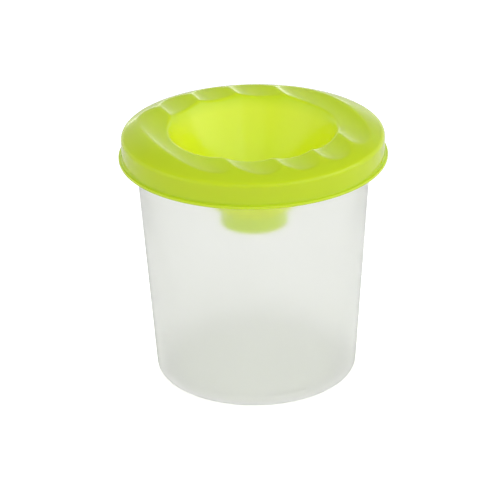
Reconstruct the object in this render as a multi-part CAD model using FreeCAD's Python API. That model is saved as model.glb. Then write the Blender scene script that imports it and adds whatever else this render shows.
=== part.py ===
"""Brush washer with lid: a tapered moulded cup and a press-on lid with a funnel.

All sizes are millimetres.  The origin is the centre of the cup's foot, on the
surface that it stands on, and +Z is up.  Each piece is written to its own STEP.
"""

import FreeCAD
import Part

import math
import os

# ---------------------------------------------------------------- cup
FOOT_RADIUS = 32.6          # outside of the side where it would meet the surface
CUP_DRAFT = 3.78            # taper of the side, degrees from vertical
CUP_HEIGHT = 80.6           # from the surface to the top of the rim
CUP_WALL = 1.1              # thickness of the side
CUP_FLOOR = 1.4             # thickness of the floor
CUP_CORNER = 2.1            # outside radius between side and foot
INNER_CORNER = 3.0          # inside radius between side and floor
FOOT_RECESS = 1.0           # height of the hollow under the floor
FOOT_WIDTH = 4.0            # width of the ring that the cup stands on
RIM_REACH = 2.65            # how far the rim stands out from the side
RIM_THICKNESS = 1.3         # of the rim's flat top
RIM_LIP = 1.2               # thickness of the rim's turned-down edge
RIM_DROP = 2.4              # height of that edge
RIM_ROUND = 0.4             # radius on the rim's outer edges

# ---------------------------------------------------------------- lid
LID_WALL = 1.15             # thickness of skirt, crown and funnel
SKIRT_DEPTH = 6.8           # skirt below the top of the cup's rim
BEAD_REACH = 1.0            # how far the bead stands out from the skirt
BEAD_HEIGHT = 1.0           # of the bead round the skirt's lower edge
BEAD_ROUND = 0.35           # radius on the bead's outer edges
CROWN_RISE = 4.35           # top of the crown above the cup's rim
CROWN_FALL = 3.37           # of the crown's arc, from the mouth to the skirt
EDGE_RADIUS = 1.6           # between crown and skirt
PLUG_DEPTH = 4.2            # ring inside the cup, below the top of its rim
PLUG_WALL = 1.1             # thickness of that ring

# ---------------------------------------------------------------- funnel
MOUTH_RADIUS = 27.8         # inside of the funnel at the top of the crown
CONE_SLOPE = 62.3           # of the cone, degrees from horizontal
CONE_END_RADIUS = 14.85     # inside radius where the cone turns in
SHOULDER_SLOPE = 40.0       # below the cone, degrees from horizontal
SPOUT_BORE = 9.8            # inside radius of the spout
SPOUT_LENGTH = 5.0          # of the spout, below the shoulder
CONE_BEND = 3.0             # inside radius between cone and shoulder
SPOUT_BEND = 3.5            # outside radius between shoulder and spout

# ---------------------------------------------------------------- brush rests
REST_COUNT = 5              # parallel scoops across the crown
REST_PITCH = 13.57          # from one scoop to the next
REST_RADIUS = 20.5          # of a scoop's section
REST_FLOOR = 2.6            # bottom of the scoops above the cup's rim
REST_ANGLE = -64.4          # direction of the scoops in plan, degrees from +X
REST_OFFSET = 0.54          # middle scoop from the lid's axis, across the scoops

# ---------------------------------------------------------------- clearances
SKIRT_CLEARANCE = 0.25      # between rim and skirt, per side
PLUG_CLEARANCE = 0.2        # between plug ring and cup, per side
CUT_MARGIN = 5.0            # how far a cutting tool runs past what it cuts
ROUND_SHARE = 0.45          # most of a straight run that one rounding may use

# ---------------------------------------------------------------- derived sizes
TAPER = math.tan(math.radians(CUP_DRAFT))
WALL_ACROSS = CUP_WALL / math.cos(math.radians(CUP_DRAFT))
FLOOR_TOP = FOOT_RECESS + CUP_FLOOR
RIM_RADIUS = FOOT_RADIUS + CUP_HEIGHT * TAPER + RIM_REACH
SKIRT_INSIDE = RIM_RADIUS + SKIRT_CLEARANCE
SKIRT_RADIUS = SKIRT_INSIDE + LID_WALL
SKIRT_BOTTOM = CUP_HEIGHT - SKIRT_DEPTH
CROWN_TOP = CUP_HEIGHT + CROWN_RISE
CROWN_REACH = SKIRT_RADIUS - MOUTH_RADIUS
CROWN_RADIUS = (CROWN_REACH ** 2 + CROWN_FALL ** 2) / (2 * CROWN_FALL)
PLUG_BOTTOM = CUP_HEIGHT - PLUG_DEPTH
REST_FLOOR_Z = CUP_HEIGHT + REST_FLOOR


def side_radius(height):
    """Outside radius of the cup's side at a height."""
    return FOOT_RADIUS + height * TAPER


def bore_radius(height):
    """Inside radius of the cup's side at a height."""
    return side_radius(height) - WALL_ACROSS


# ---------------------------------------------------------------- outlines
def point(radius, height):
    """Point of an outline, drawn in the plane of X and Z."""
    return FreeCAD.Vector(radius, 0, height)


def rounded_run(corners):
    """Edges of an open run through (radius, height, rounding) corners."""
    places = [point(r, z) for r, z, _ in corners]
    edges = []
    start = places[0]
    for i in range(1, len(corners) - 1):
        back = places[i - 1] - places[i]
        ahead = places[i + 1] - places[i]
        half_turn = (math.pi - back.getAngle(ahead)) / 2
        most = ROUND_SHARE * min(back.Length, ahead.Length) / math.tan(half_turn)
        rounding = min(corners[i][2], most)
        if rounding > 0:
            back.normalize()
            ahead.normalize()
            setback = rounding * math.tan(half_turn)
            inward = back + ahead
            inward.normalize()
            middle = rounding / math.cos(half_turn) - rounding
            first = places[i] + back * setback
            last = places[i] + ahead * setback
            edges.append(Part.LineSegment(start, first).toShape())
            edges.append(Part.Arc(first, places[i] + inward * middle, last).toShape())
            start = last
        else:
            edges.append(Part.LineSegment(start, places[i]).toShape())
            start = places[i]
    edges.append(Part.LineSegment(start, places[-1]).toShape())
    return edges


def revolved(edges):
    """Solid swept round the Z axis by the closed outline of the edges."""
    face = Part.Face(Part.Wire(edges))
    return face.revolve(FreeCAD.Vector(0, 0, 0), FreeCAD.Vector(0, 0, 1), 360)


# ---------------------------------------------------------------- cup
def make_cup():
    """Tapered cup with a recessed floor and a turned-down rim."""
    lip_bottom = CUP_HEIGHT - RIM_DROP
    rim_bottom = CUP_HEIGHT - RIM_THICKNESS
    foot_inside = FOOT_RADIUS - FOOT_WIDTH
    outline = [
        (0, FLOOR_TOP, 0),
        (0, FOOT_RECESS, 0),
        (foot_inside, FOOT_RECESS, RIM_ROUND),
        (foot_inside, 0, RIM_ROUND),
        (FOOT_RADIUS, 0, CUP_CORNER),
        (side_radius(rim_bottom), rim_bottom, RIM_ROUND),
        (RIM_RADIUS - RIM_LIP, rim_bottom, RIM_ROUND),
        (RIM_RADIUS - RIM_LIP, lip_bottom, 0),
        (RIM_RADIUS, lip_bottom, RIM_ROUND),
        (RIM_RADIUS, CUP_HEIGHT, RIM_ROUND),
        (bore_radius(CUP_HEIGHT), CUP_HEIGHT, RIM_ROUND),
        (bore_radius(FLOOR_TOP), FLOOR_TOP, INNER_CORNER),
        (0, FLOOR_TOP, 0),
    ]
    return revolved(rounded_run(outline))


# ---------------------------------------------------------------- funnel
def funnel_corners(skin):
    """Corners of the funnel's surface, from the spout's end up to the crown.

    skin is the thickness added outside the inner surface: 0 gives the inner
    surface, and LID_WALL gives the outer one.
    """
    cone = math.radians(CONE_SLOPE)
    shoulder = math.radians(SHOULDER_SLOPE)
    mean = (cone + shoulder) / 2
    cone_end = CROWN_TOP - (MOUTH_RADIUS - CONE_END_RADIUS) * math.tan(cone)
    shoulder_end = cone_end - (CONE_END_RADIUS - SPOUT_BORE) * math.tan(shoulder)
    bend = skin / math.cos((cone - shoulder) / 2)
    drop = skin * math.tan((math.pi / 2 - shoulder) / 2)
    return [
        (SPOUT_BORE + skin, shoulder_end - SPOUT_LENGTH, 0),
        (SPOUT_BORE + skin, shoulder_end - drop, SPOUT_BEND + LID_WALL - skin),
        (CONE_END_RADIUS + bend * math.sin(mean), cone_end - bend * math.cos(mean),
         CONE_BEND + skin),
        (MOUTH_RADIUS + skin / math.sin(cone), CROWN_TOP, 0),
    ]


# ---------------------------------------------------------------- crown
def crown_arc_point(radius, skin):
    """Point at a radius on the crown's arc, moved down by the skin."""
    reach = CROWN_RADIUS - skin
    out = radius - MOUTH_RADIUS
    return point(radius, CROWN_TOP - CROWN_RADIUS + math.sqrt(reach ** 2 - out ** 2))


def crown_edges():
    """Edges from the funnel's mouth over the crown and round to the skirt.

    Returns the edges and the height where the rounding meets the skirt.
    """
    edge_centre_radius = SKIRT_RADIUS - EDGE_RADIUS
    edge_centre = crown_arc_point(edge_centre_radius, EDGE_RADIUS)
    turn = math.atan2(edge_centre.z - CROWN_TOP + CROWN_RADIUS,
                      edge_centre_radius - MOUTH_RADIUS)
    join_radius = edge_centre_radius + EDGE_RADIUS * math.cos(turn)
    join = crown_arc_point(join_radius, 0)
    half = turn / 2
    edge_middle = edge_centre + point(EDGE_RADIUS * math.cos(half), EDGE_RADIUS * math.sin(half))
    crown_middle = crown_arc_point((MOUTH_RADIUS + join_radius) / 2, 0)
    edge_end = point(SKIRT_RADIUS, edge_centre.z)
    edges = [
        Part.Arc(point(MOUTH_RADIUS, CROWN_TOP), crown_middle, join).toShape(),
        Part.Arc(join, edge_middle, edge_end).toShape(),
    ]
    return edges, edge_centre.z


# ---------------------------------------------------------------- brush rests
def rest_cylinders(radius):
    """Parallel level cylinders with the brush rests' axes, and this radius."""
    angle = math.radians(REST_ANGLE)
    along = FreeCAD.Vector(math.cos(angle), math.sin(angle), 0)
    across = FreeCAD.Vector(-math.sin(angle), math.cos(angle), 0)
    half_length = SKIRT_RADIUS + CUT_MARGIN
    tools = []
    for i in range(REST_COUNT):
        place = REST_OFFSET + (i - (REST_COUNT - 1) / 2) * REST_PITCH
        start = across * place - along * half_length
        start.z = REST_FLOOR_Z + REST_RADIUS
        tools.append(Part.makeCylinder(radius, 2 * half_length, start, along))
    return tools


# ---------------------------------------------------------------- lid
def lid_body():
    """Lid without its hollow: skirt, bead, crown, funnel and brush rests."""
    outer = funnel_corners(LID_WALL)
    inner = funnel_corners(0)
    spout_bottom = inner[0][1]
    bead_radius = SKIRT_RADIUS + BEAD_REACH
    bead_top = SKIRT_BOTTOM + BEAD_HEIGHT
    crown, skirt_top = crown_edges()
    skirt = rounded_run([
        (SKIRT_RADIUS, skirt_top, 0),
        (SKIRT_RADIUS, bead_top, BEAD_ROUND),
        (bead_radius, bead_top, BEAD_ROUND),
        (bead_radius, SKIRT_BOTTOM, BEAD_ROUND),
        (funnel_radius(SKIRT_BOTTOM), SKIRT_BOTTOM, 0),
        outer[2],
        outer[1],
        outer[0],
        (SPOUT_BORE, spout_bottom, 0),
    ])
    funnel = rounded_run(inner)
    return revolved(funnel + crown + skirt).cut(rest_cylinders(REST_RADIUS))


def funnel_radius(height):
    """Outside radius of the funnel's cone at a height."""
    mouth_radius, mouth_height, _ = funnel_corners(LID_WALL)[3]
    return mouth_radius - (mouth_height - height) / math.tan(math.radians(CONE_SLOPE))


def lid_hollow():
    """Hollow under the crown, with the channel that takes the cup's rim."""
    below = SKIRT_BOTTOM - CUT_MARGIN
    plug_top_radius = bore_radius(CUP_HEIGHT) - PLUG_CLEARANCE
    plug_foot_radius = bore_radius(PLUG_BOTTOM) - PLUG_CLEARANCE
    plug_inside = plug_foot_radius - PLUG_WALL
    under_crown_radius = MOUTH_RADIUS + LID_WALL / math.sin(math.radians(CONE_SLOPE))
    crown_start = crown_arc_point(under_crown_radius, LID_WALL)
    crown_middle = crown_arc_point((under_crown_radius + plug_inside) / 2, LID_WALL)
    crown_end = crown_arc_point(plug_inside, LID_WALL)
    edges = rounded_run([
        (plug_inside, crown_end.z, 0),
        (plug_inside, PLUG_BOTTOM, 0),
        (plug_foot_radius, PLUG_BOTTOM, 0),
        (plug_top_radius, CUP_HEIGHT, 0),
        (SKIRT_INSIDE, CUP_HEIGHT, 0),
        (SKIRT_INSIDE, below, 0),
        (funnel_radius(below), below, 0),
        (funnel_radius(crown_start.z), crown_start.z, 0),
        (under_crown_radius, crown_start.z, 0),
    ])
    edges.append(Part.Arc(crown_start, crown_middle, crown_end).toShape())
    return revolved(edges).cut(rest_cylinders(REST_RADIUS + LID_WALL))


def make_lid():
    """Lid with skirt, crown, brush rests, funnel and the ring that enters the cup."""
    return lid_body().cut(lid_hollow())


def main():
    """Build each piece and write it to its own STEP file."""
    os.makedirs("parts", exist_ok=True)
    pieces = {"cup": make_cup(), "lid": make_lid()}
    for name, shape in pieces.items():
        shape.exportStep(os.path.join("parts", name + ".step"))
        print(name, "solids", len(shape.Solids), "valid", shape.isValid(),
              "volume", round(shape.Volume, 1))


main()
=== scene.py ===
"""Looks of a brush washer: a frosted tapered cup and a glossy lime lid with a funnel.

Everything is in metres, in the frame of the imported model: the origin is the centre of
the cup's foot on the table, and +Z is up.  Each piece is one moulding, built as one
closed mesh of rings round the Z axis.
"""

import logging
import math
from dataclasses import dataclass, field
from enum import Enum

import bpy
import numpy as np
from mathutils import Matrix, Vector


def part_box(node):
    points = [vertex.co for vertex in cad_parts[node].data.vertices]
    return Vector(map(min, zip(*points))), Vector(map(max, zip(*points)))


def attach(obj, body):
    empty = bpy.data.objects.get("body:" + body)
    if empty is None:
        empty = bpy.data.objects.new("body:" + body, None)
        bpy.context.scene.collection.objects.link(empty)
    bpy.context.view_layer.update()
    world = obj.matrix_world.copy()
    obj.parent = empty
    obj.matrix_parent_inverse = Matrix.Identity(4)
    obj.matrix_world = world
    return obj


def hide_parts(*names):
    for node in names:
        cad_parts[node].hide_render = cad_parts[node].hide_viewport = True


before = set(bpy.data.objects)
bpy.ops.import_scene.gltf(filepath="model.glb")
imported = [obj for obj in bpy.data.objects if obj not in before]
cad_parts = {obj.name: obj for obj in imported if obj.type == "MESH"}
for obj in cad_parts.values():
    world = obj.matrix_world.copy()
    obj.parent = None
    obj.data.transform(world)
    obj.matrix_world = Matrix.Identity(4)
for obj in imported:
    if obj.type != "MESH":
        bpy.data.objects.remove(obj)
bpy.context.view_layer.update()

LOG = logging.getLogger("brush_washer")
MM = 0.001
ON_AXIS = 1e-9


class Body(Enum):
    """Bodies that the pieces ride on."""

    CUP = "cup_body"
    LID = "lid_body"


class Slot(Enum):
    """Names of material slots for the pieces' finishes; the pieces here don't use them."""

    CUP = "cup_plastic"
    LID = "lid_plastic"


# ------------------------------------------------------------------ outlines
@dataclass(frozen=True)
class Corner:
    """Corner of a turned outline: distance from the axis, height and rounding."""

    radius: float
    height: float
    rounding: float = 0.0


@dataclass(frozen=True)
class RingSpacing:
    """How an outline is divided into rings."""

    straight: float = 1.7 * MM
    support: float = 0.2 * MM
    turn: float = math.radians(15)

    def along(self, start: np.ndarray, end: np.ndarray) -> list[np.ndarray]:
        """Points after the start of a straight stretch, its end included.

        Args:
            start: Radius and height where the stretch starts.
            end: Radius and height where it ends.

        Returns:
            Evenly spaced points, with one more close to each end.
        """
        length = float(np.linalg.norm(end - start))
        if length < 3 * self.support:
            return [end]
        inner = length - 2 * self.support
        count = max(1, math.ceil(inner / self.straight))
        places = [self.support + inner * i / count for i in range(count + 1)] + [length]
        return [start + (end - start) * place / length for place in places]

    def round(self, centre: np.ndarray, first: np.ndarray,
              last: np.ndarray) -> list[np.ndarray]:
        """Points of an arc after its first one.

        Args:
            centre: Radius and height of the arc's centre.
            first: Where the arc starts.
            last: Where the arc ends, less than half a turn on.

        Returns:
            Points on the arc, its last one included.
        """
        start, end = first - centre, last - centre
        turn = math.atan2(start[0] * end[1] - start[1] * end[0], float(start @ end))
        count = max(2, math.ceil(abs(turn) / self.turn))
        points = []
        for i in range(1, count + 1):
            angle = turn * i / count
            sine, cosine = math.sin(angle), math.cos(angle)
            across = start[0] * cosine - start[1] * sine
            upward = start[0] * sine + start[1] * cosine
            points.append(centre + np.array([across, upward]))
        return points


def outline(corners: list[Corner], spacing: RingSpacing) -> np.ndarray:
    """Divides an open run through rounded corners into rings.

    Args:
        corners: Corners in order.  The first and last have no rounding.
        spacing: How straights and roundings are divided.

    Returns:
        One row of radius and height for each ring.
    """
    places = [np.array([corner.radius, corner.height]) for corner in corners]
    points = [places[0]]
    for i in range(1, len(places) - 1):
        back, ahead = places[i - 1] - places[i], places[i + 1] - places[i]
        back, ahead = back / np.linalg.norm(back), ahead / np.linalg.norm(ahead)
        half_turn = (math.pi - math.acos(float(np.clip(back @ ahead, -1, 1)))) / 2
        setback = corners[i].rounding * math.tan(half_turn)
        inward = (back + ahead) / np.linalg.norm(back + ahead)
        centre = places[i] + inward * corners[i].rounding / math.cos(half_turn)
        first, last = places[i] + back * setback, places[i] + ahead * setback
        points += spacing.along(points[-1], first)
        if corners[i].rounding > 0:
            points += spacing.round(centre, first, last)
    points += spacing.along(points[-1], places[-1])
    return np.array(points)


def turned(rings: np.ndarray, columns: int) -> np.ndarray:
    """Turns an outline round the Z axis.

    Args:
        rings: Radius and height of each ring.
        columns: Number of points round each ring.

    Returns:
        Array of rings by columns by 3 coordinates.
    """
    angle = np.arange(columns) * 2 * math.pi / columns
    radius = rings[:, 0, None]
    height = np.broadcast_to(rings[:, 1, None], (len(rings), columns))
    return np.stack([radius * np.cos(angle), radius * np.sin(angle), height], axis=-1)


def ring_mesh(name: str, points: np.ndarray) -> bpy.types.Object:
    """Closed mesh through rings of points.

    Args:
        name: Name of the new object.
        points: Array of rings by columns by 3.  Rings that start and end on the axis
            close the mesh with one point each, and otherwise the last ring meets the
            first one.

    Returns:
        The new object, linked to the scene and shaded smooth.
    """
    count, columns = points.shape[:2]
    on_axis = float(np.hypot(points[0, 0, 0], points[0, 0, 1])) < ON_AXIS
    nxt = np.roll(np.arange(columns), -1)
    if on_axis:
        body = points[1:-1].reshape(-1, 3)
        vertices = np.concatenate([body, points[:1, 0], points[-1:, 0]])
        rows = np.arange(count - 3)
        following = rows + 1
        start, end = len(body), len(body) + 1
        last_row = (count - 3) * columns
        caps = [(start, i, int(nxt[i])) for i in range(columns)]
        caps += [(last_row + i, end, last_row + int(nxt[i])) for i in range(columns)]
    else:
        vertices = points.reshape(-1, 3)
        rows = np.arange(count)
        following = (rows + 1) % count
        caps = []
    here, there = rows[:, None] * columns, following[:, None] * columns
    column = np.arange(columns)[None, :]
    quads = np.stack([here + column, there + column, there + nxt, here + nxt], axis=-1)
    mesh = bpy.data.meshes.new(name)
    mesh.from_pydata(vertices.tolist(), [], quads.reshape(-1, 4).tolist() + caps)
    mesh.polygons.foreach_set("use_smooth", np.ones(len(mesh.polygons), dtype=bool))
    mesh.validate()
    mesh.update()
    piece = bpy.data.objects.new(name, mesh)
    bpy.context.scene.collection.objects.link(piece)
    return piece


def soft_lowest(heights: list[np.ndarray], softness: float) -> np.ndarray:
    """Lowest of several surfaces, with the edges between them rounded over.

    Args:
        heights: Surfaces as heights at the same places.
        softness: Half the height that is lost where two surfaces cross.

    Returns:
        Heights of the blended surface.
    """
    stack = np.stack(np.broadcast_arrays(*heights))
    lowest = stack.min(axis=0)
    return lowest - softness * np.log(np.exp((lowest - stack) / softness).sum(axis=0))


# ------------------------------------------------------------------ finishes
class Kind(Enum):
    """Kinds of socket on a node group."""

    COLOUR = "NodeSocketColor"
    VALUE = "NodeSocketFloat"
    VECTOR = "NodeSocketVector"


def empty_group(name: str, inputs: tuple[tuple[str, Kind, object], ...],
                outputs: tuple[tuple[str, Kind], ...]) -> bpy.types.ShaderNodeTree:
    """Starts a node group.

    Args:
        name: Name of the group.
        inputs: Name, kind and first value of each input.
        outputs: Name and kind of each output.

    Returns:
        The group, with its sockets but no nodes.
    """
    group = bpy.data.node_groups.new(name, "ShaderNodeTree")
    for label, kind, value in inputs:
        socket = group.interface.new_socket(name=label, in_out="INPUT", socket_type=kind.value)
        socket.default_value = value
    for label, kind in outputs:
        group.interface.new_socket(name=label, in_out="OUTPUT", socket_type=kind.value)
    return group


@dataclass(frozen=True)
class MouldedSkin:
    """Node group for the skin of a moulded plastic.

    It puts out a colour that clouds over slowly, a roughness that varies with it and with
    fine rubbing, and the height of the mould's fine grain.
    """

    cloud_detail: float = 3.0
    cloud_roughness: float = 0.45
    cloud_range: tuple[float, float] = (0.3, 0.7)
    grain_detail: float = 2.0
    rubbing_share: float = 0.5

    def build(self) -> bpy.types.ShaderNodeTree:
        """Builds the group.

        Returns:
            The finished group.
        """
        group = empty_group(
            "moulded_skin",
            (("Colour", Kind.COLOUR, (0.8, 0.8, 0.8, 1.0)),
             ("Cloud Colour", Kind.COLOUR, (0.7, 0.7, 0.7, 1.0)),
             ("Cloud Scale", Kind.VALUE, 30.0),
             ("Grain Scale", Kind.VALUE, 2500.0),
             ("Least Roughness", Kind.VALUE, 0.2),
             ("Most Roughness", Kind.VALUE, 0.3)),
            (("Colour", Kind.COLOUR), ("Roughness", Kind.VALUE), ("Height", Kind.VALUE)))
        nodes, links = group.nodes, group.links
        given = nodes.new("NodeGroupInput")
        result = nodes.new("NodeGroupOutput")
        place = nodes.new("ShaderNodeTexCoord")

        clouds = nodes.new("ShaderNodeTexNoise")
        clouds.inputs["Detail"].default_value = self.cloud_detail
        clouds.inputs["Roughness"].default_value = self.cloud_roughness
        links.new(place.outputs["Object"], clouds.inputs["Vector"])
        links.new(given.outputs["Cloud Scale"], clouds.inputs["Scale"])

        spread = nodes.new("ShaderNodeMapRange")
        spread.inputs["From Min"].default_value = self.cloud_range[0]
        spread.inputs["From Max"].default_value = self.cloud_range[1]
        links.new(clouds.outputs["Fac"], spread.inputs["Value"])

        tint = nodes.new("ShaderNodeMix")
        tint.data_type = "RGBA"
        links.new(spread.outputs["Result"], tint.inputs["Factor"])
        links.new(given.outputs["Colour"], tint.inputs["A"])
        links.new(given.outputs["Cloud Colour"], tint.inputs["B"])
        links.new(tint.outputs["Result"], result.inputs["Colour"])

        grain = nodes.new("ShaderNodeTexNoise")
        grain.inputs["Detail"].default_value = self.grain_detail
        links.new(place.outputs["Object"], grain.inputs["Vector"])
        links.new(given.outputs["Grain Scale"], grain.inputs["Scale"])
        links.new(grain.outputs["Fac"], result.inputs["Height"])

        clouding = nodes.new("ShaderNodeMath")
        clouding.operation = "MULTIPLY"
        clouding.inputs[1].default_value = 1 - self.rubbing_share
        links.new(spread.outputs["Result"], clouding.inputs[0])
        rubbing = nodes.new("ShaderNodeMath")
        rubbing.operation = "MULTIPLY_ADD"
        rubbing.inputs[1].default_value = self.rubbing_share
        links.new(grain.outputs["Fac"], rubbing.inputs[0])
        links.new(clouding.outputs["Value"], rubbing.inputs[2])

        roughness = nodes.new("ShaderNodeMapRange")
        links.new(rubbing.outputs["Value"], roughness.inputs["Value"])
        links.new(given.outputs["Least Roughness"], roughness.inputs["To Min"])
        links.new(given.outputs["Most Roughness"], roughness.inputs["To Max"])
        links.new(roughness.outputs["Result"], result.inputs["Roughness"])
        return group


class Along(Enum):
    """What a fade is measured along, as the axes of the piece that count."""

    HEIGHT = (0.0, 0.0, 1.0)
    RADIUS = (1.0, 1.0, 0.0)


@dataclass(frozen=True)
class Fade:
    """Smooth change along a piece: of the roughness, and of the colour where light or shade is
    painted.

    The colour and the roughness stay as they are up to the start, and are multiplied by
    their factors from the end on.  The colour factors are painted light and shade.
    """

    along: Along
    start: float
    end: float
    colour: tuple[float, float, float] = (1.0, 1.0, 1.0)
    roughness: float = 1.0

    @staticmethod
    def group() -> bpy.types.ShaderNodeTree:
        """Builds the node group that every fade uses.

        Returns:
            A group that puts out the colour with painted light and shade, and the roughness.
        """
        group = empty_group(
            "roughness_and_painted_light_fade",
            (("Colour", Kind.COLOUR, (0.8, 0.8, 0.8, 1.0)),
             ("Roughness", Kind.VALUE, 0.3),
             ("Along", Kind.VECTOR, Along.HEIGHT.value),
             ("Start", Kind.VALUE, 0.0),
             ("End", Kind.VALUE, 1.0),
             ("Painted Light Factor", Kind.COLOUR, (1.0, 1.0, 1.0, 1.0)),
             ("Roughness Gain", Kind.VALUE, 0.0)),
            (("Colour", Kind.COLOUR), ("Roughness", Kind.VALUE)))
        nodes, links = group.nodes, group.links
        given = nodes.new("NodeGroupInput")
        result = nodes.new("NodeGroupOutput")

        place = nodes.new("ShaderNodeTexCoord")
        only = nodes.new("ShaderNodeVectorMath")
        only.operation = "MULTIPLY"
        links.new(place.outputs["Object"], only.inputs[0])
        links.new(given.outputs["Along"], only.inputs[1])
        reach = nodes.new("ShaderNodeVectorMath")
        reach.operation = "LENGTH"
        links.new(only.outputs["Vector"], reach.inputs[0])
        mask = nodes.new("ShaderNodeMapRange")
        mask.interpolation_type = "SMOOTHSTEP"
        links.new(reach.outputs["Value"], mask.inputs["Value"])
        links.new(given.outputs["Start"], mask.inputs["From Min"])
        links.new(given.outputs["End"], mask.inputs["From Max"])

        faded = nodes.new("ShaderNodeMix")
        faded.data_type = "RGBA"
        faded.blend_type = "MULTIPLY"
        links.new(mask.outputs["Result"], faded.inputs["Factor"])
        links.new(given.outputs["Colour"], faded.inputs["A"])
        links.new(given.outputs["Painted Light Factor"], faded.inputs["B"])
        links.new(faded.outputs["Result"], result.inputs["Colour"])

        growth = nodes.new("ShaderNodeMath")
        growth.operation = "MULTIPLY_ADD"
        growth.inputs[2].default_value = 1.0
        links.new(mask.outputs["Result"], growth.inputs[0])
        links.new(given.outputs["Roughness Gain"], growth.inputs[1])
        rougher = nodes.new("ShaderNodeMath")
        rougher.operation = "MULTIPLY"
        links.new(given.outputs["Roughness"], rougher.inputs[0])
        links.new(growth.outputs["Value"], rougher.inputs[1])
        links.new(rougher.outputs["Value"], result.inputs["Roughness"])
        return group


@dataclass(frozen=True)
class PlasticGroups:
    """Node groups that every moulded plastic uses."""

    skin: bpy.types.ShaderNodeTree
    fade: bpy.types.ShaderNodeTree


@dataclass(frozen=True)
class MouldedPlastic:
    """Finish of one moulded plastic, with fades that paint light or shade into its colour.

    Colours are linear red, green and blue.
    """

    name: str
    colour: tuple[float, float, float]
    cloud_colour: tuple[float, float, float]
    roughness: tuple[float, float]
    refraction: float = 1.49
    transmission: float = 0.0
    specular: float = 0.5
    subsurface: float = 0.0
    subsurface_reach: tuple[float, float, float] = (1.0, 1.0, 1.0)
    subsurface_scale: float = 1.0 * MM
    cloud_scale: float = 30.0
    grain_scale: float = 2500.0
    grain_height: float = 0.0005 * MM
    fades: tuple[Fade, ...] = ()

    def material(self, groups: PlasticGroups) -> bpy.types.Material:
        """Builds the material.

        Args:
            groups: The node groups of moulded plastics.

        Returns:
            A material with one Principled shader.
        """
        material = bpy.data.materials.new(self.name)
        material.use_nodes = True
        nodes, links = material.node_tree.nodes, material.node_tree.links
        shader = nodes["Principled BSDF"]
        for label, value in (
            ("IOR", self.refraction),
            ("Transmission Weight", self.transmission),
            ("Specular IOR Level", self.specular),
            ("Subsurface Weight", self.subsurface),
            ("Subsurface Radius", self.subsurface_reach),
            ("Subsurface Scale", self.subsurface_scale),
        ):
            shader.inputs[label].default_value = value

        skin = self.placed(nodes, groups.skin, (
            ("Colour", (*self.colour, 1.0)),
            ("Cloud Colour", (*self.cloud_colour, 1.0)),
            ("Cloud Scale", self.cloud_scale),
            ("Grain Scale", self.grain_scale),
            ("Least Roughness", self.roughness[0]),
            ("Most Roughness", self.roughness[1]),
        ))
        last = skin
        # Each fade's colour factor paints light or shade into the colour, and its roughness
        # factor changes the real roughness.
        for fade in self.fades:
            faded = self.placed(nodes, groups.fade, (
                ("Along", fade.along.value),
                ("Start", fade.start),
                ("End", fade.end),
                ("Painted Light Factor", (*fade.colour, 1.0)),
                ("Roughness Gain", fade.roughness - 1),
            ))
            links.new(last.outputs["Colour"], faded.inputs["Colour"])
            links.new(last.outputs["Roughness"], faded.inputs["Roughness"])
            last = faded
        links.new(last.outputs["Colour"], shader.inputs["Base Color"])
        links.new(last.outputs["Roughness"], shader.inputs["Roughness"])

        grain = nodes.new("ShaderNodeBump")
        grain.inputs["Distance"].default_value = self.grain_height
        links.new(skin.outputs["Height"], grain.inputs["Height"])
        links.new(grain.outputs["Normal"], shader.inputs["Normal"])
        return material

    @staticmethod
    def placed(nodes: bpy.types.Nodes, group: bpy.types.ShaderNodeTree,
               values: tuple[tuple[str, object], ...]) -> bpy.types.ShaderNode:
        """Places a node group in a material.

        Args:
            nodes: Nodes of the material.
            group: The group to place.
            values: Name and value of each input that is set.

        Returns:
            The group's node.
        """
        node = nodes.new("ShaderNodeGroup")
        node.node_tree = group
        for label, value in values:
            node.inputs[label].default_value = value
        return node


FROSTED_NATURAL = MouldedPlastic(
    name="frosted_natural_plastic",
    colour=(0.895, 0.901, 0.889),
    cloud_colour=(0.88, 0.886, 0.873),
    roughness=(0.285, 0.31),
    refraction=1.11,
    transmission=0.95,
    cloud_scale=45.0,
    grain_scale=1800.0,
    grain_height=0.0001 * MM,
    fades=(
        Fade(Along.HEIGHT, 58 * MM, 36 * MM, roughness=1.9),
        # Painted shade: the cup is darker at the bottom of its foot, where it stands on the
        # table.
        Fade(Along.HEIGHT, 0.98 * MM, 0.4 * MM, colour=(0.77, 0.77, 0.77)),
    ),
)
LIME_GLOSS = MouldedPlastic(
    name="lime_gloss_plastic",
    colour=(0.58, 0.73, 0.006),
    cloud_colour=(0.565, 0.715, 0.005),
    roughness=(0.09, 0.13),
    specular=0.5,
    subsurface=1.0,
    subsurface_reach=(1.0, 1.1, 0.2),
    subsurface_scale=2.5 * MM,
    cloud_scale=35.0,
    grain_scale=1400.0,
    grain_height=0.0005 * MM,
    fades=(
        Fade(Along.RADIUS, 31.0 * MM, 27.8 * MM, roughness=1.9),
        # Painted light: the funnel is lighter and paler, as if lit through its thin wall.
        Fade(Along.RADIUS, 27.9 * MM, 24.8 * MM, colour=(1.28, 1.22, 3.6)),
        # Painted light on the spout: it keeps less of the funnel's painted brightening and is
        # painted paler still.
        Fade(Along.RADIUS, 14.0 * MM, 12.0 * MM, colour=(0.84, 0.855, 3.5)),
        # Painted shade: the bead is darker and paler than the skirt above it.
        Fade(Along.RADIUS, 42.0 * MM, 42.8 * MM, colour=(0.93, 0.95, 4.0)),
    ),
)


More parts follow.
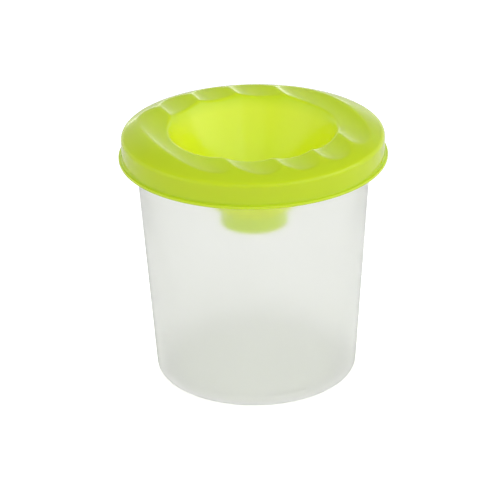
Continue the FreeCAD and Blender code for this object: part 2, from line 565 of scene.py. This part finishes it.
# ------------------------------------------------------------------ cup
@dataclass(frozen=True)
class Cup:
    """Tapered cup with a recessed floor and a turned-down rim."""

    finish: MouldedPlastic
    foot_radius: float = 32.6 * MM
    draft: float = math.radians(3.78)
    wall: float = 1.1 * MM
    floor: float = 1.4 * MM
    corner: float = 2.1 * MM
    inner_corner: float = 3.0 * MM
    foot_recess: float = 1.0 * MM
    foot_width: float = 4.0 * MM
    foot_ramp: float = 3.0 * MM
    rim_reach: float = 2.65 * MM
    rim_thickness: float = 1.3 * MM
    rim_lip: float = 1.2 * MM
    rim_drop: float = 2.4 * MM
    rim_round: float = 0.4 * MM
    gate_radius: float = 2.2 * MM
    gate_depth: float = 0.35 * MM
    ring_step: float = 2.4 * MM
    columns: int = 384
    height: float = field(default_factory=lambda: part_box("cup")[1].z)

    def side_radius(self, height: float) -> float:
        """Outside radius of the side at a height."""
        return self.foot_radius + height * math.tan(self.draft)

    def bore_radius(self, height: float) -> float:
        """Inside radius of the side at a height."""
        return self.side_radius(height) - self.wall / math.cos(self.draft)

    def corners(self) -> list[Corner]:
        """Corners of the outline.

        Returns:
            Corners in order, from the middle of the floor round to its underside.
        """
        floor_top = self.foot_recess + self.floor
        rim_bottom = self.height - self.rim_thickness
        rim_radius = self.side_radius(self.height) + self.rim_reach
        lip_radius = rim_radius - self.rim_lip
        lip_bottom = self.height - self.rim_drop
        foot_inside = self.foot_radius - self.foot_width
        gate_top = self.foot_recess + self.gate_depth
        return [
            Corner(0, floor_top),
            Corner(self.bore_radius(floor_top), floor_top, self.inner_corner),
            Corner(self.bore_radius(self.height), self.height, self.rim_round),
            Corner(rim_radius, self.height, self.rim_round),
            Corner(rim_radius, lip_bottom, self.rim_round),
            Corner(lip_radius, lip_bottom, self.rim_round),
            Corner(lip_radius, rim_bottom, self.rim_round),
            Corner(self.side_radius(rim_bottom), rim_bottom, self.rim_round),
            Corner(self.foot_radius, 0, self.corner),
            Corner(foot_inside, 0, self.rim_round),
            Corner(foot_inside - self.foot_ramp, self.foot_recess, self.foot_ramp / 2),
            Corner(self.gate_radius + self.gate_depth, self.foot_recess, self.gate_depth / 2),
            Corner(self.gate_radius, gate_top, self.gate_depth / 2),
            Corner(0, gate_top),
        ]

    def build(self, groups: PlasticGroups) -> bpy.types.Object:
        """Builds the cup, dresses it and ties it to its body.

        Args:
            groups: The node groups of moulded plastics.

        Returns:
            The finished piece.
        """
        rings = outline(self.corners(), RingSpacing(straight=self.ring_step))
        piece = ring_mesh("cup_moulding", turned(rings, self.columns))
        piece.data.materials.append(self.finish.material(groups))
        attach(piece, Body.CUP.value)
        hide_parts("cup")
        return piece


# ------------------------------------------------------------------ lid
@dataclass(frozen=True)
class BrushRests:
    """Parallel level scoops across the lid's crown."""

    count: int = 5
    pitch: float = 13.57 * MM
    radius: float = 20.5 * MM
    floor: float = 2.6 * MM
    angle: float = math.radians(-64.4)
    offset: float = 0.54 * MM

    def heights(self, x: np.ndarray, y: np.ndarray, rim: float,
                skin: float) -> list[np.ndarray]:
        """Height of each scoop's surface.

        Args:
            x: Places along X.
            y: Places along Y.
            rim: Height of the cup's rim.
            skin: Thickness between the top surface and the one wanted.

        Returns:
            One array of heights for each scoop.
        """
        across = y * math.cos(self.angle) - x * math.sin(self.angle)
        reach = self.radius + skin
        axis_height = rim + self.floor + self.radius
        surfaces = []
        for i in range(self.count):
            away = across - self.offset - (i - (self.count - 1) / 2) * self.pitch
            surfaces.append(axis_height - np.sqrt(np.maximum(reach**2 - away**2, 0)))
        return surfaces


@dataclass(frozen=True)
class Lid:
    """Press-on lid: skirt with a bead, domed crown with brush rests, and a funnel."""

    finish: MouldedPlastic
    cup: Cup
    rests: BrushRests = BrushRests()
    wall: float = 1.15 * MM
    skirt_clearance: float = 0.25 * MM
    skirt_depth: float = 6.8 * MM
    bead_reach: float = 1.0 * MM
    bead_height: float = 1.0 * MM
    bead_round: float = 0.4 * MM
    bead_fillet: float = 0.6 * MM
    crown_rise: float = 4.35 * MM
    crown_fall: float = 3.37 * MM
    edge_radius: float = 1.6 * MM
    plug_depth: float = 4.2 * MM
    plug_wall: float = 1.1 * MM
    plug_clearance: float = 0.2 * MM
    seat_gap: float = 0.02 * MM
    mouth_radius: float = 27.8 * MM
    cone_slope: float = math.radians(62.3)
    cone_end_radius: float = 14.85 * MM
    shoulder_slope: float = math.radians(40)
    spout_bore: float = 9.8 * MM
    spout_length: float = 5.0 * MM
    cone_bend: float = 3.0 * MM
    spout_bend: float = 3.5 * MM
    small_round: float = 0.25 * MM
    plug_fillet: float = 0.5 * MM
    fillet_rings: int = 5
    crest_softness: float = 0.12 * MM
    mouth_softness: float = 0.5 * MM
    relief_start: float = 7.0 * MM
    mouth_band: float = 1.3 * MM
    mouth_step: float = 0.13 * MM
    crown_step: float = 0.36 * MM
    under_step: float = 0.9 * MM
    columns: int = 440

    @property
    def rim(self) -> float:
        """Height of the cup's rim, which the lid sits on."""
        return self.cup.height

    @property
    def crown_top(self) -> float:
        """Height of the crown's arc at the funnel's mouth."""
        return self.rim + self.crown_rise

    @property
    def skirt_inside(self) -> float:
        """Inside radius of the skirt."""
        return self.cup.side_radius(self.rim) + self.cup.rim_reach + self.skirt_clearance

    @property
    def skirt_radius(self) -> float:
        """Outside radius of the skirt."""
        return self.skirt_inside + self.wall

    @property
    def crown_radius(self) -> float:
        """Radius of the crown's arc."""
        reach = self.skirt_radius - self.mouth_radius
        return (reach**2 + self.crown_fall**2) / (2 * self.crown_fall)

    def crown_height(self, radius: np.ndarray, skin: float) -> np.ndarray:
        """Height of the crown's arc.

        Args:
            radius: Distances from the axis.
            skin: Thickness below the top surface.

        Returns:
            Heights at those radii, level inside the funnel's mouth.
        """
        reach = self.crown_radius - skin
        drop = np.sqrt(np.maximum(reach**2 - (radius - self.mouth_radius) ** 2, 0))
        rise = np.where(radius < self.mouth_radius, reach, drop)
        return self.crown_top - self.crown_radius + rise

    def cone_height(self, radius: np.ndarray, skin: float) -> np.ndarray:
        """Height of the funnel's cone at a radius, a skin outside its inner surface."""
        mouth = self.mouth_radius + skin / math.sin(self.cone_slope)
        return self.crown_top + (radius - mouth) * math.tan(self.cone_slope)

    def cone_radius(self, height: float, skin: float) -> float:
        """Radius of the funnel's cone at a height, a skin outside its inner surface."""
        mouth = self.mouth_radius + skin / math.sin(self.cone_slope)
        return mouth - (self.crown_top - height) / math.tan(self.cone_slope)

    def funnel_corners(self, skin: float) -> list[Corner]:
        """Corners of the funnel's surface, from the spout's end up to the plain cone.

        Args:
            skin: Thickness outside the inner surface.

        Returns:
            Corners in order, the last one where the relief starts.
        """
        cone, shoulder = self.cone_slope, self.shoulder_slope
        mean = (cone + shoulder) / 2
        cone_end = self.crown_top - (self.mouth_radius - self.cone_end_radius) * math.tan(cone)
        shoulder_end = cone_end - (self.cone_end_radius - self.spout_bore) * math.tan(shoulder)
        bend = skin / math.cos((cone - shoulder) / 2)
        bend_radius = self.cone_end_radius + bend * math.sin(mean)
        bend_height = cone_end - bend * math.cos(mean)
        drop = skin * math.tan((math.pi / 2 - shoulder) / 2)
        spout_radius = self.spout_bore + skin
        start = self.rim - self.relief_start
        return [
            Corner(spout_radius, shoulder_end - self.spout_length, self.small_round),
            Corner(spout_radius, shoulder_end - drop, self.spout_bend + self.wall - skin),
            Corner(bend_radius, bend_height, self.cone_bend + skin),
            Corner(self.cone_radius(start, skin), start),
        ]

    def edge_outline(self, spacing: RingSpacing) -> np.ndarray:
        """Divides the rounding between the crown and the skirt.

        Args:
            spacing: How the rounding is divided.

        Returns:
            Radius and height of each ring, from the crown down.
        """
        centre_radius = self.skirt_radius - self.edge_radius
        centre_height = float(self.crown_height(np.array(centre_radius), self.edge_radius))
        centre = np.array([centre_radius, centre_height])
        arc_centre = np.array([self.mouth_radius, self.crown_top - self.crown_radius])
        outward = (centre - arc_centre) / np.linalg.norm(centre - arc_centre)
        join = centre + outward * self.edge_radius
        end = np.array([self.skirt_radius, centre_height])
        return np.array([join] + spacing.round(centre, join, end))

    def skirt_outline(self, top: float, spacing: RingSpacing) -> np.ndarray:
        """Divides the skirt, its bead and the channel that takes the cup's rim.

        Args:
            top: Height where the skirt starts.
            spacing: How the outline is divided.

        Returns:
            Radius and height of each ring, from the skirt's top down, round the bead and
            up to the plug's inside.
        """
        bottom = self.rim - self.skirt_depth
        bead_radius = self.skirt_radius + self.bead_reach
        bead_top = bottom + self.bead_height
        seat = self.rim + self.seat_gap
        plug_bottom = self.rim - self.plug_depth
        plug_top_radius = self.cup.bore_radius(self.rim) - self.plug_clearance
        plug_foot_radius = self.cup.bore_radius(plug_bottom) - self.plug_clearance
        small = self.small_round
        return outline([
            Corner(self.skirt_radius, top),
            Corner(self.skirt_radius, bead_top, self.bead_fillet),
            Corner(bead_radius, bead_top, self.bead_round / 2),
            Corner(bead_radius, bottom, self.bead_round),
            Corner(self.skirt_inside, bottom, small),
            Corner(self.skirt_inside, seat, small),
            Corner(plug_top_radius, seat, small),
            Corner(plug_foot_radius, plug_bottom, small),
            Corner(self.plug_inside, plug_bottom, small),
            Corner(self.plug_inside, self.rim),
        ], spacing)

    @property
    def plug_inside(self) -> float:
        """Inside radius of the ring that enters the cup."""
        foot = self.cup.bore_radius(self.rim - self.plug_depth) - self.plug_clearance
        return foot - self.plug_wall

    def crown_radii(self, start: float, end: float) -> np.ndarray:
        """Radii of the crown's rings, closest together round the funnel's mouth.

        Args:
            start: Radius of the ring before the first one.
            end: Radius that the rings stop short of.

        Returns:
            The radii in order.
        """
        band_start = self.mouth_radius - self.mouth_band
        band_end = self.mouth_radius + self.mouth_band / 2
        parts = []
        for low, high, step in ((start, band_start, 2 * self.crown_step),
                                (band_start, band_end, self.mouth_step),
                                (band_end, end, self.crown_step)):
            count = math.ceil((high - low) / step)
            parts.append(low + (high - low) * np.arange(count) / count)
        return np.concatenate(parts)[1:]

    def relief(self, radius: np.ndarray, skin: float) -> np.ndarray:
        """Points of the crown and the funnel's mouth, with the brush rests let in.

        Args:
            radius: Radius of each ring.
            skin: Thickness below the top surface.

        Returns:
            Array of rings by columns by 3 coordinates.
        """
        points = turned(np.stack([radius, np.zeros_like(radius)], axis=-1), self.columns)
        x, y = points[..., 0], points[..., 1]
        crown = self.crown_height(radius, skin)[:, None]
        scoops = self.rests.heights(x, y, self.rim, skin)
        crests = soft_lowest([crown, *scoops], self.crest_softness)
        cone = self.cone_height(radius, skin)[:, None]
        points[..., 2] = soft_lowest([crests, cone], self.mouth_softness)
        return points

    def edge_rings(self, rings: np.ndarray) -> np.ndarray:
        """Turns the edge's rings, with the ends of the brush rests let in.

        Args:
            rings: Radius and height of each ring.

        Returns:
            Array of rings by columns by 3 coordinates.
        """
        points = turned(rings, self.columns)
        scoops = self.rests.heights(points[..., 0], points[..., 1], self.rim, 0)
        points[..., 2] = soft_lowest([points[..., 2], *scoops], self.crest_softness)
        return points

    def under_crown(self) -> np.ndarray:
        """Points under the crown, with a fillet where it meets the plug.

        Returns:
            Array of rings by columns by 3 coordinates, from the plug's inside to the
            funnel's outside.
        """
        fillet = self.plug_fillet
        turns = np.linspace(0, math.pi / 2, self.fillet_rings)
        corner = self.relief(self.plug_inside - fillet * (1 - np.cos(turns)), self.wall)
        corner[..., 2] -= (fillet * (1 - np.sin(turns)))[:, None]
        start = self.plug_inside - fillet
        end = self.cone_radius(self.rim - self.relief_start, self.wall)
        count = math.ceil((start - end) / self.under_step)
        radii = start + (end - start) * np.arange(1, count) / count
        return np.concatenate([corner, self.relief(radii, self.wall)])

    def points(self) -> np.ndarray:
        """Points of the whole lid.

        Returns:
            Array of rings by columns by 3 coordinates, from the spout's end up the funnel,
            over the crown, round the skirt and back under the crown.
        """
        spacing = RingSpacing()
        spout = self.funnel_corners(0)
        shell = self.funnel_corners(self.wall)
        middle = (spout[0].radius + shell[0].radius) / 2
        end = Corner(middle, spout[0].height)
        inside = outline([end, *spout], spacing)
        outside = outline([*reversed(shell), end], spacing)[:-1]
        edge = self.edge_outline(spacing)
        radii = self.crown_radii(spout[-1].radius, float(edge[0, 0]))
        skirt = self.skirt_outline(float(edge[-1, 1]), spacing)
        return np.concatenate([
            turned(inside, self.columns),
            self.relief(radii, 0),
            self.edge_rings(edge),
            turned(skirt[1:], self.columns),
            self.under_crown(),
            turned(outside, self.columns),
        ])

    def build(self, groups: PlasticGroups) -> bpy.types.Object:
        """Builds the lid, dresses it and ties it to its body.

        Args:
            groups: The node groups of moulded plastics.

        Returns:
            The finished piece.
        """
        piece = ring_mesh("lid_moulding", self.points())
        piece.data.materials.append(self.finish.material(groups))
        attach(piece, Body.LID.value)
        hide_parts("lid")
        return piece


# ------------------------------------------------------------------ studio
Stops = tuple[tuple[float, float], ...]


@dataclass(frozen=True)
class StudioCamera:
    """Camera in front of the object and above it."""

    distance: float = 739.056 * MM
    height: float = 385.611 * MM
    pitch: float = 0.437016
    yaw: float = -0.002111
    roll: float = -0.017779
    lens: float = 180.788
    film: float = 36.0

    def build(self) -> bpy.types.Object:
        """Adds the camera and makes it the scene's.

        Returns:
            The camera, turned by its yaw, pitch and roll.
        """
        ahead = Vector((math.sin(self.yaw) * math.cos(self.pitch),
                        math.cos(self.yaw) * math.cos(self.pitch),
                        -math.sin(self.pitch)))
        level = ahead.cross(Vector((0, 0, 1))).normalized()
        upright = level.cross(ahead)
        right = level * math.cos(self.roll) + upright * math.sin(self.roll)
        up = upright * math.cos(self.roll) - level * math.sin(self.roll)
        data = bpy.data.cameras.new("studio_camera")
        data.sensor_width = self.film
        data.lens = self.lens
        camera = bpy.data.objects.new("studio_camera", data)
        place = Matrix((right, up, -ahead)).transposed().to_4x4()
        place.translation = Vector((0, -self.distance, self.height))
        camera.matrix_world = place
        bpy.context.scene.collection.objects.link(camera)
        bpy.context.scene.camera = camera
        return camera


@dataclass(frozen=True)
class SoftLamp:
    """Oblong soft lamp that faces the object.

    Azimuth 0 is the camera's side, and 90 is to the right of it.
    """

    name: str
    azimuth: float
    elevation: float
    distance: float
    width: float
    height: float
    brightness: float
    target: tuple[float, float, float] = (0.0, 0.0, 60 * MM)

    def build(self) -> bpy.types.Object:
        """Adds the lamp.

        Returns:
            The lamp, aimed at its target.
        """
        data = bpy.data.lights.new(self.name, "AREA")
        data.shape = "RECTANGLE"
        data.size = self.width
        data.size_y = self.height
        data.energy = self.brightness * math.pi * self.width * self.height
        lamp = bpy.data.objects.new(self.name, data)
        lamp.visible_camera = False
        azimuth, elevation = math.radians(self.azimuth), math.radians(self.elevation)
        away = Vector((math.sin(azimuth) * math.cos(elevation),
                       -math.cos(azimuth) * math.cos(elevation),
                       math.sin(elevation)))
        lamp.location = Vector(self.target) + away * self.distance
        lamp.rotation_euler = away.to_track_quat("Z", "Y").to_euler()
        bpy.context.scene.collection.objects.link(lamp)
        return lamp


@dataclass(frozen=True)
class Studio:
    """Camera, white table, pale surround and soft lamps.

    The walls that gloss shows are given by sine of the elevation and brightness.  Each
    reach is where a wall starts and is whole, along the way that it lies.
    """

    camera: StudioCamera = StudioCamera()
    lamps: tuple[SoftLamp, ...] = (
        SoftLamp("right_soft_lamp", 63, 27, 1.0, 1.5, 0.7, 1.0),
        SoftLamp("front_soft_lamp", 2, 28, 1.0, 0.8, 0.45, 0.65),
        SoftLamp("left_soft_lamp", -62, 22, 1.0, 1.2, 0.5, 0.4),
        SoftLamp("back_soft_lamp", -175.5, 6.4, 1.0, 0.5, 0.045, 1.45),
    )
    surround_level: float = 0.7
    back_wall: Stops = (
        (0.0, 1.0), (0.10, 1.0), (0.17, 0.75), (0.28, 0.55), (0.42, 0.5), (0.6, 0.25), (1.0, 0.4))
    front_wall: Stops = ((0.0, 0.3), (0.2, 0.35), (0.45, 0.5), (0.75, 0.45), (1.0, 0.4))
    right_wall: Stops = (
        (0.0, 0.7), (0.15, 0.7), (0.3, 0.92), (0.5, 0.85), (0.7, 0.5), (1.0, 0.4))
    left_wall: Stops = (
        (0.0, 0.5), (0.15, 0.6), (0.3, 0.75), (0.5, 0.7), (0.7, 0.5), (1.0, 0.4))
    back_reach: tuple[float, float] = (-0.3, 0.4)
    right_reach: tuple[float, float] = (0.5, 0.95)
    left_reach: tuple[float, float] = (-0.5, -0.95)
    table_colour: tuple[float, float, float] = (0.86, 0.86, 0.85)
    table_roughness: float = 0.8
    table_glows: tuple[tuple[str, float], ...] = (
        ("Is Camera Ray", 0.5), ("Is Transmission Ray", 0.3), ("Is Glossy Ray", 0.1))
    table_size: float = 6.0

    @staticmethod
    def reflected_wall(tree: bpy.types.ShaderNodeTree, height: bpy.types.NodeSocket,
                       stops: Stops) -> bpy.types.NodeSocket:
        """Brightness of one side of the surround.

        Args:
            tree: The world's nodes.
            height: Sine of the elevation.
            stops: Pairs of height and brightness.

        Returns:
            The brightness at that height.
        """
        ramp = tree.nodes.new("ShaderNodeValToRGB")
        elements = ramp.color_ramp.elements
        while len(elements) < len(stops):
            elements.new(0.5)
        for element, (position, brightness) in zip(elements, stops):
            element.position = position
            element.color = (brightness, brightness, brightness, 1)
        tree.links.new(height, ramp.inputs["Fac"])
        return ramp.outputs["Color"]

    def build_surround(self) -> None:
        """World that lights the object evenly, and is white to the camera.

        Gloss shows its walls, which are bright at the horizon behind the object.
        """
        world = bpy.data.worlds.new("studio_surround")
        bpy.context.scene.world = world
        world.use_nodes = True
        tree = world.node_tree
        nodes, links = tree.nodes, tree.links
        background = nodes["Background"]
        background.inputs["Color"].default_value = (1, 1, 1, 1)

        ways = nodes.new("ShaderNodeTexCoord")
        split = nodes.new("ShaderNodeSeparateXYZ")
        links.new(ways.outputs["Generated"], split.inputs["Vector"])
        height = split.outputs["Z"]
        walls = self.reflected_wall(tree, height, self.front_wall)
        for way, (near, far), stops in (
            ("Y", self.back_reach, self.back_wall),
            ("X", self.right_reach, self.right_wall),
            ("X", self.left_reach, self.left_wall),
        ):
            toward = nodes.new("ShaderNodeMapRange")
            toward.interpolation_type = "SMOOTHSTEP"
            toward.inputs["From Min"].default_value = near
            toward.inputs["From Max"].default_value = far
            links.new(split.outputs[way], toward.inputs["Value"])
            blend = nodes.new("ShaderNodeMix")
            blend.data_type = "RGBA"
            links.new(toward.outputs["Result"], blend.inputs["Factor"])
            links.new(walls, blend.inputs["A"])
            links.new(self.reflected_wall(tree, height, stops), blend.inputs["B"])
            walls = blend.outputs["Result"]

        path = nodes.new("ShaderNodeLightPath")
        plain = nodes.new("ShaderNodeMath")
        plain.operation = "MAXIMUM"
        links.new(path.outputs["Is Camera Ray"], plain.inputs[0])
        links.new(path.outputs["Is Transmission Ray"], plain.inputs[1])
        gloss = nodes.new("ShaderNodeMix")
        gloss.data_type = "RGBA"
        level = self.surround_level
        gloss.inputs["A"].default_value = (level, level, level, 1)
        links.new(path.outputs["Is Glossy Ray"], gloss.inputs["Factor"])
        links.new(walls, gloss.inputs["B"])
        shown = nodes.new("ShaderNodeMix")
        shown.data_type = "RGBA"
        shown.inputs["B"].default_value = (1, 1, 1, 1)
        links.new(plain.outputs["Value"], shown.inputs["Factor"])
        links.new(gloss.outputs["Result"], shown.inputs["A"])
        links.new(shown.outputs["Result"], background.inputs["Strength"])

    def table_material(self) -> bpy.types.Material:
        """Builds a matt pale finish that shows as white and keeps the object's shadow.

        Returns:
            The table's material.
        """
        material = bpy.data.materials.new("table_top")
        material.use_nodes = True
        nodes, links = material.node_tree.nodes, material.node_tree.links
        shader = nodes["Principled BSDF"]
        shader.inputs["Base Color"].default_value = (*self.table_colour, 1)
        shader.inputs["Roughness"].default_value = self.table_roughness
        shader.inputs["Emission Color"].default_value = (1, 1, 1, 1)
        path = nodes.new("ShaderNodeLightPath")
        total = None
        for ray, strength in self.table_glows:
            glow = nodes.new("ShaderNodeMath")
            glow.operation = "MULTIPLY_ADD"
            glow.inputs[1].default_value = strength
            glow.inputs[2].default_value = 0.0
            links.new(path.outputs[ray], glow.inputs[0])
            if total is not None:
                links.new(total, glow.inputs[2])
            total = glow.outputs["Value"]
        links.new(total, shader.inputs["Emission Strength"])
        return material

    def build_table(self) -> bpy.types.Object:
        """Adds a flat table top under the object.

        Returns:
            The table, linked to the scene.
        """
        half = self.table_size / 2
        mesh = bpy.data.meshes.new("table_top")
        corners = [(-half, -half, 0), (half, -half, 0), (half, half, 0), (-half, half, 0)]
        mesh.from_pydata(corners, [], [(0, 1, 2, 3)])
        mesh.materials.append(self.table_material())
        table = bpy.data.objects.new("table_top", mesh)
        bpy.context.scene.collection.objects.link(table)
        return table

    def build(self) -> None:
        """Adds the camera, the table, the surround and the lamps."""
        self.camera.build()
        self.build_surround()
        self.build_table()
        for lamp in self.lamps:
            lamp.build()
        bpy.context.scene.view_settings.view_transform = "Standard"


def main() -> None:
    """Builds the cup, the lid and the studio in order."""
    logging.basicConfig(level=logging.INFO, format="%(message)s")
    Studio().build()
    groups = PlasticGroups(skin=MouldedSkin().build(), fade=Fade.group())
    cup = Cup(finish=FROSTED_NATURAL)
    lid = Lid(finish=LIME_GLOSS, cup=cup)
    for part in (cup, lid):
        piece = part.build(groups)
        LOG.info("%s: %d faces", piece.name, len(piece.data.polygons))


if __name__ == "__main__":
    main()
